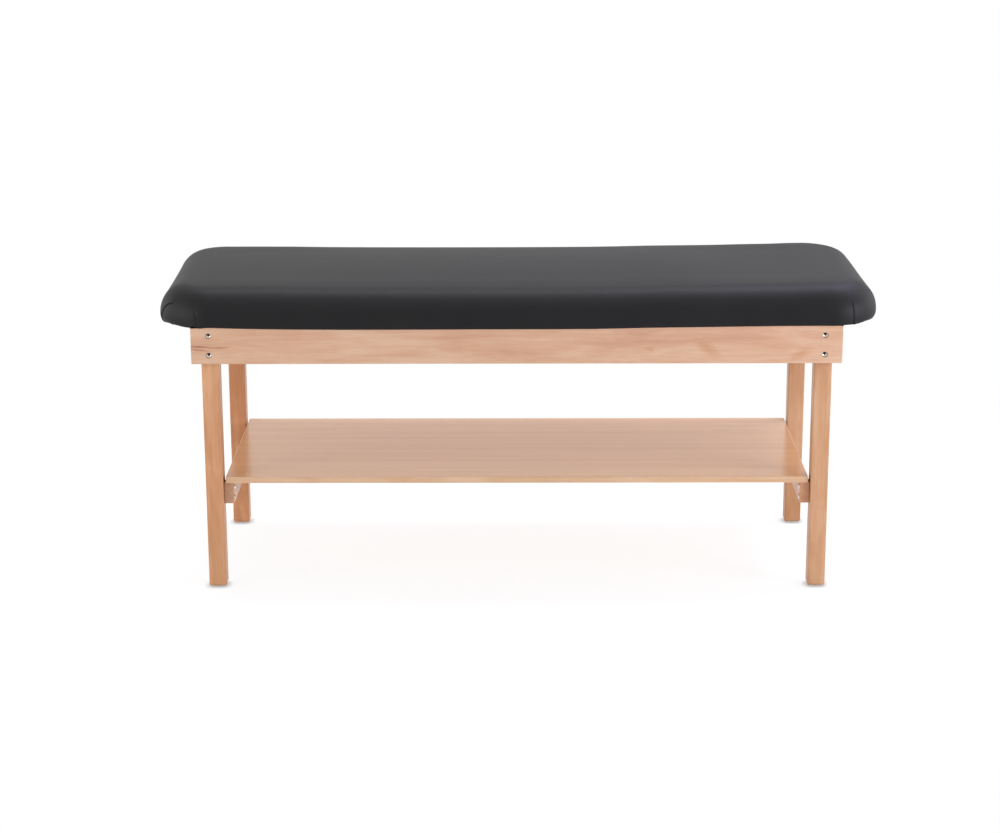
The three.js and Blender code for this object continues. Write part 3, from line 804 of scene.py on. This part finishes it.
# The real pad is a little crooked. Along the table: how high its lower edge and its top stand over
# their drawn levels. Across it, from its edge inward: how much fuller the foam is than the drawn top,
# which fades toward the ends by the shares after it. Then how far the ends run askew for each metre of
# depth, how hollow each end is, how far the front half of the right end leans in above the belly, and
# how far each corner is drawn in or stands out, less so low down, where the deck holds it.
lower_edge_line = [
    (-0.92, 0.0030), (-0.81, 0.0037), (-0.785, 0.0054), (-0.75, 0.0044), (-0.70, 0.0028), (-0.57, 0.0007),
    (-0.40, -0.0004), (-0.12, 0.0002), (0.18, 0.0007), (0.34, 0.0039), (0.49, 0.0057), (0.64, 0.0080),
    (0.73, 0.0092), (0.77, 0.0096), (0.82, 0.0092), (0.86, 0.0088), (0.92, 0.0062),
]
top_line = [
    (-0.92, 0.0000), (-0.63, -0.0005), (-0.50, -0.0020), (-0.25, -0.0030), (0.0, -0.0032), (0.20, -0.0024),
    (0.29, -0.0011), (0.37, 0.0006), (0.53, 0.0017), (0.62, 0.0034), (0.70, 0.0048), (0.76, 0.0068),
    (0.92, 0.0072),
]
crown = [
    (0.0, 0.0), (0.008, 0.0), (0.016, 0.0), (0.024, 0.0003), (0.032, 0.0006), (0.040, 0.0003),
    (0.048, -0.0004), (0.056, -0.0010), (0.065, -0.0012), (0.075, -0.0006), (0.089, 0.0006),
    (0.110, 0.0024), (0.130, 0.0038), (0.162, 0.0054), (0.200, 0.0070), (0.245, 0.0082), (0.323, 0.0090),
]
crown_end = (0.36, 0.66)
crown_kept = {-1: 0.6, 1: 0.25}
crown_last = (0.76, 0.90)
skew = 0.018
waist = {-1: 0.0035, 1: 0.0}
end_lean = {-1: 0.0, 1: 0.0044}
lean_span = (-0.08, 0.12)
lean_heights = (belly_level + 0.030, belly_level + 0.070)
corner_pull = {(-1, -1): -0.008, (1, -1): 0.0, (-1, 1): 0.003, (1, 1): 0.012}
pull_kept = 0.45
pull_heights = (cover_low.z, cover_low.z + 0.065)
apron_low, apron_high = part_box("apron_front")
rest_gap = 0.0006


def settled(place, lying):
    """A point of the drawn pad, moved to where it lies on the real one; lying is 1 on the hem."""
    x, y, z = place
    side = -1 if x < 0 else 1
    level = min(max((z - lower_edge) / (roll_level - lower_edge), 0), 1)
    low = along(lower_edge_line, x)
    lift = (low + (along(top_line, x) - low) * level) * (1 - lying)
    if z > belly_level:
        kept = crown_kept[side]
        flat = (1 - kept) * eased(abs(x), *crown_end) + kept * eased(abs(x), *crown_last)
        lift += along(crown, cover_high.y - abs(y)) * (1 - flat)
    lean = end_lean[side] * (1 - eased(y, *lean_span)) * eased(z, *lean_heights)
    hollow = waist[side] * (1 - (y / cover_high.y) ** 2) + lean
    hollow *= eased(abs(x), core_half_length, cover_high.x - corner_radius / 2)
    over = (max(abs(x) - core_half_length, 0), max(abs(y) - core_half_width, 0))
    pull = corner_pull[side, -1 if y < 0 else 1] * 2 * over[0] * over[1] / corner_radius ** 2
    if pull > 0:
        pull *= pull_kept + (1 - pull_kept) * eased(z, *pull_heights)
    x -= (side * (hollow + pull) + skew * y) * (1 - lying)
    y -= math.copysign(pull, y) * (1 - lying)
    return clear_of_aprons((x, y, z + lift))


def clear_of_aprons(place):
    """The same point, kept off the aprons' faces where the vinyl hangs in front of them."""
    x, y, z = place
    if z < cover_low.z - level_slack and abs(x) < apron_high.x + rest_gap:
        y = math.copysign(max(abs(y), -apron_low.y + rest_gap), y)
    return Vector((x, y, z))


def wrap(u, v):
    """Where a point of the flat sheet lies on the pad."""
    over_u = max(abs(u) - core_half_length, 0)
    over_v = max(abs(v) - core_half_width, 0)
    if over_u == 0 and over_v == 0:
        dome = (1 - (u / core_half_length) ** 2) * (1 - (v / core_half_width) ** 2)
        return settled((u, v, side_section[0][1] + crown_rise * dome), 0)
    turn = corner_turn(over_u, over_v)
    distance = max(over_u, over_v)
    inset, height = section_at(distance, 1 - eased(turn, *end_turns))
    lying = 0
    if distance > lowest_length:
        lying = 1 - (cover_low.z - height) / edge_droop
    reach = corner_radius - inset
    x = min(abs(u), core_half_length) + reach * math.cos(turn)
    y = min(abs(v), core_half_width) + reach * math.sin(turn)
    return settled((math.copysign(x, u), math.copysign(y, v), height), lying)


def height_along(height):
    """Distance along the sheet at which the pad's side stands a height over its lower edge."""
    return min(zip(section_lengths, side_section), key=lambda row: (
        abs(row[1][1] - lower_edge - height), row[0]))[0]


# Corner folds, by the end and the side of the table. Each is a line of heights over the lower edge and
# of degrees round the corner from the way the front or back faces; then how far its flap stands up, on
# which side, and how deep the crease cuts.
folds = {
    (-1, -1): [([(0.0, 8), (0.026, 9), (0.052, 11)], 0.0010, -1, 0.0012),
               ([(0.0, 66), (0.022, 63), (0.043, 56), (0.055, 49), (0.063, 36)], 0.0022, 1, 0.0012)],
    (1, -1): [([(0.0, 26), (0.034, 25), (0.066, 24)], 0.0014, 1, 0.0008),
              ([(0.0, 38), (0.030, 40), (0.050, 42)], 0.0006, -1, 0.0006)],
    (-1, 1): [([(0.0, 20), (0.030, 21), (0.058, 24)], 0.0014, 1, 0.0016),
              ([(0.0, 62), (0.024, 60), (0.045, 52), (0.058, 42)], 0.0018, 1, 0.0014)],
    (1, 1): [([(0.0, 14), (0.028, 15), (0.054, 18)], 0.0012, 1, 0.0016),
             ([(0.0, 60), (0.022, 57), (0.040, 52), (0.052, 44)], 0.0014, 1, 0.0014)],
}
fold_fade = 0.018
fold_cut_width = 0.0019
fold_margin = 0.012
fold_zone = 0.06
flap_reach = 0.016
flap_end = 6 * flap_reach
pleat_depth = 0.0022
pleat_count = 9
pleat_phase = 0.4
pleat_start = (lowest_length + 0.012, lowest_length + 0.030)
pleat_fan = (math.radians(30), math.radians(42))
pleat_stop = (1.50, 1.57)


def fold_lines():
    """Each corner's folds as lines in the plane of arc and distance along the sheet."""
    lines = {}
    for corner, rows in folds.items():
        lines[corner] = []
        for points, lift, side, cut in rows:
            line = [(math.radians(angle) * corner_radius, height_along(height))
                    for height, angle in points]
            line.insert(0, (line[0][0], sheet_drop))
            lines[corner].append((line, lift, side, cut))
    return lines


corner_folds = fold_lines()


def from_line(arc, distance, line):
    """Signed distance from a fold line, and how far before its end the nearest point lies."""
    best, left = None, 0
    ahead = sum(math.dist(a, b) for a, b in zip(line, line[1:]))
    for a, b in zip(line, line[1:]):
        run = (b[0] - a[0], b[1] - a[1])
        length = math.hypot(*run)
        share = ((arc - a[0]) * run[0] + (distance - a[1]) * run[1]) / length ** 2
        share = min(max(share, 0), 1)
        gap = (arc - a[0] - run[0] * share, distance - a[1] - run[1] * share)
        size = math.hypot(*gap)
        if best is None or size < abs(best):
            side = 1 if gap[0] * run[1] - gap[1] * run[0] <= 0 else -1
            best = side * size
            left = ahead - length * share
        ahead -= length
    return best, left


def in_corner(u, v):
    """The corner that a point of the sheet belongs to, with its arc and distance, or None."""
    over_u = abs(u) - core_half_length
    over_v = abs(v) - core_half_width
    if over_v <= 0 or max(over_u, 0) + over_v == 0:
        return None
    turn = corner_turn(max(over_u, 0), over_v)
    arc = (math.pi / 2 - turn) * corner_radius
    if over_u <= 0:
        arc = over_u
    if arc < -fold_zone:
        return None
    return (-1 if u < 0 else 1, -1 if v < 0 else 1), arc, max(over_u, over_v)


def fold_height(u, v):
    """How far the vinyl stands up, or is pinched in, at a point of the sheet."""
    found = in_corner(u, v)
    if found is None:
        return 0
    corner, arc, distance = found
    total = 0
    for line, lift, side, cut in corner_folds[corner]:
        gap, left = from_line(arc, distance, line)
        if abs(gap) > flap_end:
            continue
        fade = eased(left, 0, fold_fade)
        if gap * side > 0:
            total += fade * lift * math.exp(-abs(gap) / flap_reach)
        total -= fade * cut * math.exp(-(gap / fold_cut_width) ** 2)
    return total + pleat_height(arc / corner_radius, distance)


def pleat_height(off_front, distance):
    """The gathers of the hem under a corner, where the spare vinyl is laid in flat pleats."""
    fanned = eased(distance, *pleat_start)
    free = eased(off_front, *pleat_fan) * (1 - eased(off_front, *pleat_stop))
    return pleat_depth * fanned * free * abs(math.sin(off_front * pleat_count + pleat_phase))


half_length = core_half_length + sheet_drop
half_width = core_half_width + sheet_drop


def flat_sheet(cell):
    """The flat sheet of vinyl as a grid of cells."""
    form = bmesh.new()
    bmesh.ops.create_grid(form, x_segments=round(2 * half_length / cell),
                          y_segments=round(2 * half_width / cell), size=1)
    bmesh.ops.scale(form, verts=form.verts, vec=(half_length, half_width, 1))
    return form


def refine(form, wanted):
    """Halves the cells of the sheet whose middles are wanted."""
    faces = [face for face in form.faces if wanted(*face.calc_center_median().xy)]
    edges = {edge for face in faces for edge in face.edges}
    bmesh.ops.subdivide_edges(form, edges=list(edges), cuts=1, use_grid_fill=True)


# The sheet is sprung on a coarse copy: it starts a little inside its shape, the foam's pressure swells
# it in a cloth simulation, and how far each crossing moved is carried over to the fine sheet.
blown_cell = 0.018
columns = round(2 * half_length / blown_cell)
rows = round(2 * half_width / blown_cell)
held_band = 0.05
foam_hold = 0.34
swell = 0.0024
swell_reach = (-0.05, 0.10)
swell_limit = 0.0036
foam_pressure = 5
blown_frames = 20


def held_share(u, v):
    """1 where the sheet is turned under and stapled; above that, how firmly the foam holds it."""
    distance = max(abs(u) - core_half_length, abs(v) - core_half_width)
    return foam_hold + (1 - foam_hold) * eased(distance, lowest_length - held_band, lowest_length)


def swell_at(u, v):
    """How far inside its shape the sheet starts: most on the top, nothing down the sides."""
    distance = max(abs(u) - core_half_length, abs(v) - core_half_width)
    return swell * (1 - eased(distance, *swell_reach))


def blown_out():
    """How each crossing of the coarse sheet moves when the foam presses it from inside."""
    form = flat_sheet(blown_cell)
    flat = [vert.co.xy.copy() for vert in form.verts]
    for vert, (u, v) in zip(form.verts, flat):
        vert.co = wrap(u, v)
    form.normal_update()
    crossings = [(round((u + half_length) / (2 * half_length) * columns),
                  round((v + half_width) / (2 * half_width) * rows)) for u, v in flat]
    inward = [vert.normal * -swell_at(u, v) for vert, (u, v) in zip(form.verts, flat)]
    for vert, step in zip(form.verts, inward):
        vert.co += step
    start = [vert.co.copy() for vert in form.verts]
    mesh = bpy.data.meshes.new("sheet_blown")
    form.to_mesh(mesh)
    form.free()
    sheet = new_piece("sheet_blown", mesh)
    held = sheet.vertex_groups.new(name="held")
    for i, (u, v) in enumerate(flat):
        held.add([i], held_share(u, v), "REPLACE")
    cloth = sheet.modifiers.new("cloth", "CLOTH")
    cloth.settings.vertex_group_mass = "held"
    cloth.settings.use_pressure = True
    cloth.settings.uniform_pressure_force = foam_pressure
    cloth.settings.effector_weights.gravity = 0
    cloth.point_cache.frame_start = 1
    cloth.point_cache.frame_end = blown_frames
    for step in range(1, blown_frames + 1):
        bpy.context.scene.frame_set(step)
    solved = sheet.evaluated_get(bpy.context.evaluated_depsgraph_get()).data
    moved = {}
    for i, crossing in enumerate(crossings):
        move = solved.vertices[i].co - start[i]
        if move.length > swell_limit:
            move *= swell_limit / move.length
        moved[crossing] = move
    bpy.data.objects.remove(sheet)
    bpy.data.meshes.remove(mesh)
    bpy.context.scene.frame_set(1)
    return moved


def spline_shares(share):
    """The shares of the four nearest crossings in a smooth cubic surface."""
    return ((1 - share) ** 3 / 6, (3 * share ** 3 - 6 * share ** 2 + 4) / 6,
            (1 + 3 * share + 3 * share ** 2 - 3 * share ** 3) / 6, share ** 3 / 6)


def carried(moved, u, v):
    """How far a point of the fine sheet moves with the coarse one."""
    across = (u + half_length) / (2 * half_length) * columns
    deep = (v + half_width) / (2 * half_width) * rows
    i, j = math.floor(across), math.floor(deep)
    total = Vector()
    for a, share_u in enumerate(spline_shares(across - i)):
        for b, share_v in enumerate(spline_shares(deep - j)):
            crossing = (min(max(i - 1 + a, 0), columns), min(max(j - 1 + b, 0), rows))
            total += moved[crossing] * (share_u * share_v)
    return total


def on_edge(u, v):
    """Whether a point of the sheet lies on the roll or the tuck."""
    distance = max(abs(u) - core_half_length, abs(v) - core_half_width)
    return corner_radius - edge_roll - sheet_cell < distance < sheet_drop - hem_width + end_return


def near_fold(u, v):
    """Whether a point of the sheet lies close to a fold."""
    found = in_corner(u, v)
    if found is None:
        return False
    corner, arc, distance = found
    if distance > lowest_length and arc > 0:
        return True
    return any(abs(from_line(arc, distance, line)[0]) < fold_margin for line, *_ in corner_folds[corner])


cover_form = flat_sheet(sheet_cell)
refine(cover_form, on_edge)
refine(cover_form, near_fold)
refine(cover_form, near_fold)
flat_places = {vert: vert.co.xy.copy() for vert in cover_form.verts}
for vert, (u, v) in flat_places.items():
    vert.co = wrap(u, v)
cover_form.normal_update()
moved = blown_out()
for vert, (u, v) in flat_places.items():
    lift = fold_height(u, v) - swell_at(u, v)
    flat_places[vert] = vert.normal * lift + carried(moved, u, v)
for vert, move in flat_places.items():
    vert.co = clear_of_aprons(vert.co + move)

# From the hem the shell runs back inside, up the deck's edge and across on top of the deck, so the pad
# is closed all round and the foam needs no piece of its own.
hem_edge = [edge for edge in cover_form.edges if edge.is_boundary]
deck_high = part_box("pad_deck")[1]
deck_inset = cover_high.x - deck_high.x - deck_clearance
inner_places = [
    (hem_width, cover_low.z + hem_thickness),
    (deck_inset, cover_low.z + hem_thickness),
    (deck_inset, deck_high.z + deck_clearance),
]
for inset, height in inner_places:
    made = bmesh.ops.extrude_edge_only(cover_form, edges=hem_edge)["geom"]
    for vert in [part for part in made if isinstance(part, bmesh.types.BMVert)]:
        over_x = abs(vert.co.x) - core_half_length
        over_y = abs(vert.co.y) - core_half_width
        reach = corner_radius - inset
        if over_x > 0 and over_y > 0:
            place = Vector((over_x, over_y)).normalized() * reach
        elif over_x > over_y:
            place = Vector((reach, over_y))
        else:
            place = Vector((over_x, reach))
        vert.co.x = math.copysign(core_half_length + place.x, vert.co.x)
        vert.co.y = math.copysign(core_half_width + place.y, vert.co.y)
        vert.co.z = height
    hem_edge = [part for part in made if isinstance(part, bmesh.types.BMEdge)]
bmesh.ops.holes_fill(cover_form, edges=hem_edge)
bmesh.ops.recalc_face_normals(cover_form, faces=cover_form.faces)

pebble_size = 0.0011
mottle_size = 0.12
hem_crease = math.radians(60)


def black_vinyl():
    """Smooth matt upholstery vinyl: calendered black, with a faint fine leather grain."""
    material, tree = new_material("vinyl_upholstery_matt_black")
    place = add_node(tree, "TexCoord")["Object"]
    pebbles = add_node(tree, "TexVoronoi", {
        "Vector": place, "Scale": 1 / pebble_size, "Randomness": 0.9}, feature="SMOOTH_F1")["Distance"]
    mottle = add_node(tree, "TexNoise", {
        "Vector": place, "Scale": 1 / mottle_size, "Detail": 3.0, "Roughness": 0.5})["Fac"]
    colour = add_node(tree, "ValToRGB", {"Fac": mottle}, [(0.3, "#0f0f11"), (0.7, "#131314")])["Color"]
    gloss = add_node(tree, "MapRange", {"Value": mottle, "To Min": 0.5, "To Max": 0.56})["Result"]
    bump = add_node(tree, "Bump", {
        "Height": pebbles, "Strength": 0.25, "Distance": 0.00006})["Normal"]
    shader = add_node(tree, "BsdfPrincipled", {
        "Base Color": colour, "Roughness": gloss, "Normal": bump, "IOR": 1.5,
        "Specular IOR Level": 0.2})["BSDF"]
    add_node(tree, "OutputMaterial", {"Surface": shader})
    return material


cover_mesh = bpy.data.meshes.new("vinyl_top")
cover_form.to_mesh(cover_mesh)
cover_form.free()
cover_mesh.materials.append(black_vinyl())
cover_mesh.shade_smooth()
cover_mesh.set_sharp_from_angle(angle=hem_crease)
vinyl_top = new_piece("vinyl_top", cover_mesh)
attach(vinyl_top, "root")
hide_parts("pad_cover", "pad_foam")


# Hem staples
# Fine wire staples hold the vinyl's hem under the deck: galvanised steel, shot in by hand in a
# slightly uneven row, left out where a leg, a slat or an apron is in the way.
staple_spacing = 0.034
staple_crown = 0.0095
staple_leg = 0.0012
staple_bend = 0.0004
staple_wire_radius = 0.0004
staple_from_hem = 0.011
staple_room_share = 0.8
staple_seat_share = 0.8
staple_sway = 0.0012
staple_lean = 0.10
sway_paces = (1.7, 2.9)
lean_pace = 2.3
corner_staple_turns = (math.radians(18), math.radians(45), math.radians(70))
in_the_way = [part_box(name) for name in nodes if name.startswith((
    "apron_front", "apron_back", "apron_left", "apron_right", "leg_", "cross_slat"))]


def staple_rows():
    """The places of the staples on the flat sheet and the way that each one runs."""
    distance = sheet_drop - staple_from_hem
    places = []
    for side in (-1, 1):
        for k in range(round(2 * core_half_length / staple_spacing) + 1):
            u = k * staple_spacing - core_half_length
            places.append((u, side * (core_half_width + distance), 0))
        for k in range(round(2 * core_half_width / staple_spacing) + 1):
            v = k * staple_spacing - core_half_width
            places.append((side * (core_half_length + distance), v, math.pi / 2))
        for other in (-1, 1):
            for turn in corner_staple_turns:
                over_u = distance * min(1, (math.pi / 2 - turn) * 4 / math.pi)
                over_v = distance * min(1, turn * 4 / math.pi)
                outward = math.atan2(other * math.sin(turn), side * math.cos(turn))
                places.append((side * (core_half_length + over_u), other * (core_half_width + over_v),
                               outward + math.pi / 2))
    return places


def blocked(place):
    """Whether a part of the frame lies over a place on the hem."""
    margin = staple_crown * staple_room_share
    return any(low.x - margin < place.x < high.x + margin and low.y - margin < place.y < high.y + margin
               for low, high in in_the_way)


staple_wire = bpy.data.curves.new("hem_staples", "CURVE")
staple_wire.dimensions = "3D"
staple_wire.bevel_depth = staple_wire_radius
staple_wire.bevel_resolution = 2
staple_wire.use_fill_caps = True
for k, (u, v, turn) in enumerate(staple_rows()):
    place = wrap(u, v)
    if blocked(place):
        continue
    lean = turn + staple_lean * math.sin(lean_pace * k)
    place.z = cover_low.z - max(fold_height(u, v), 0) - staple_wire_radius * staple_seat_share
    place.xy += Vector((math.sin(sway_paces[0] * k), math.cos(sway_paces[1] * k))) * staple_sway
    run = Vector((math.cos(lean), math.sin(lean), 0))
    half = staple_crown / 2
    profile = [(-half, staple_leg), (-half, staple_bend), (staple_bend - half, 0),
               (half - staple_bend, 0), (half, staple_bend), (half, staple_leg)]
    spline = staple_wire.splines.new("POLY")
    spline.points.add(len(profile) - 1)
    for point, (out, up) in zip(spline.points, profile):
        point.co = (*(place + run * out + Vector((0, 0, up))), 1)
wire_holder = new_piece("hem_staple_wires", staple_wire)
bpy.context.view_layer.update()
bent_wire = wire_holder.evaluated_get(bpy.context.evaluated_depsgraph_get())
staple_mesh = bpy.data.meshes.new_from_object(bent_wire)
bpy.data.objects.remove(wire_holder)
staple_mesh.materials.clear()
staple_mesh.materials.append(zinc)
hem_staples = new_piece("hem_staples", staple_mesh)
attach(hem_staples, "root")
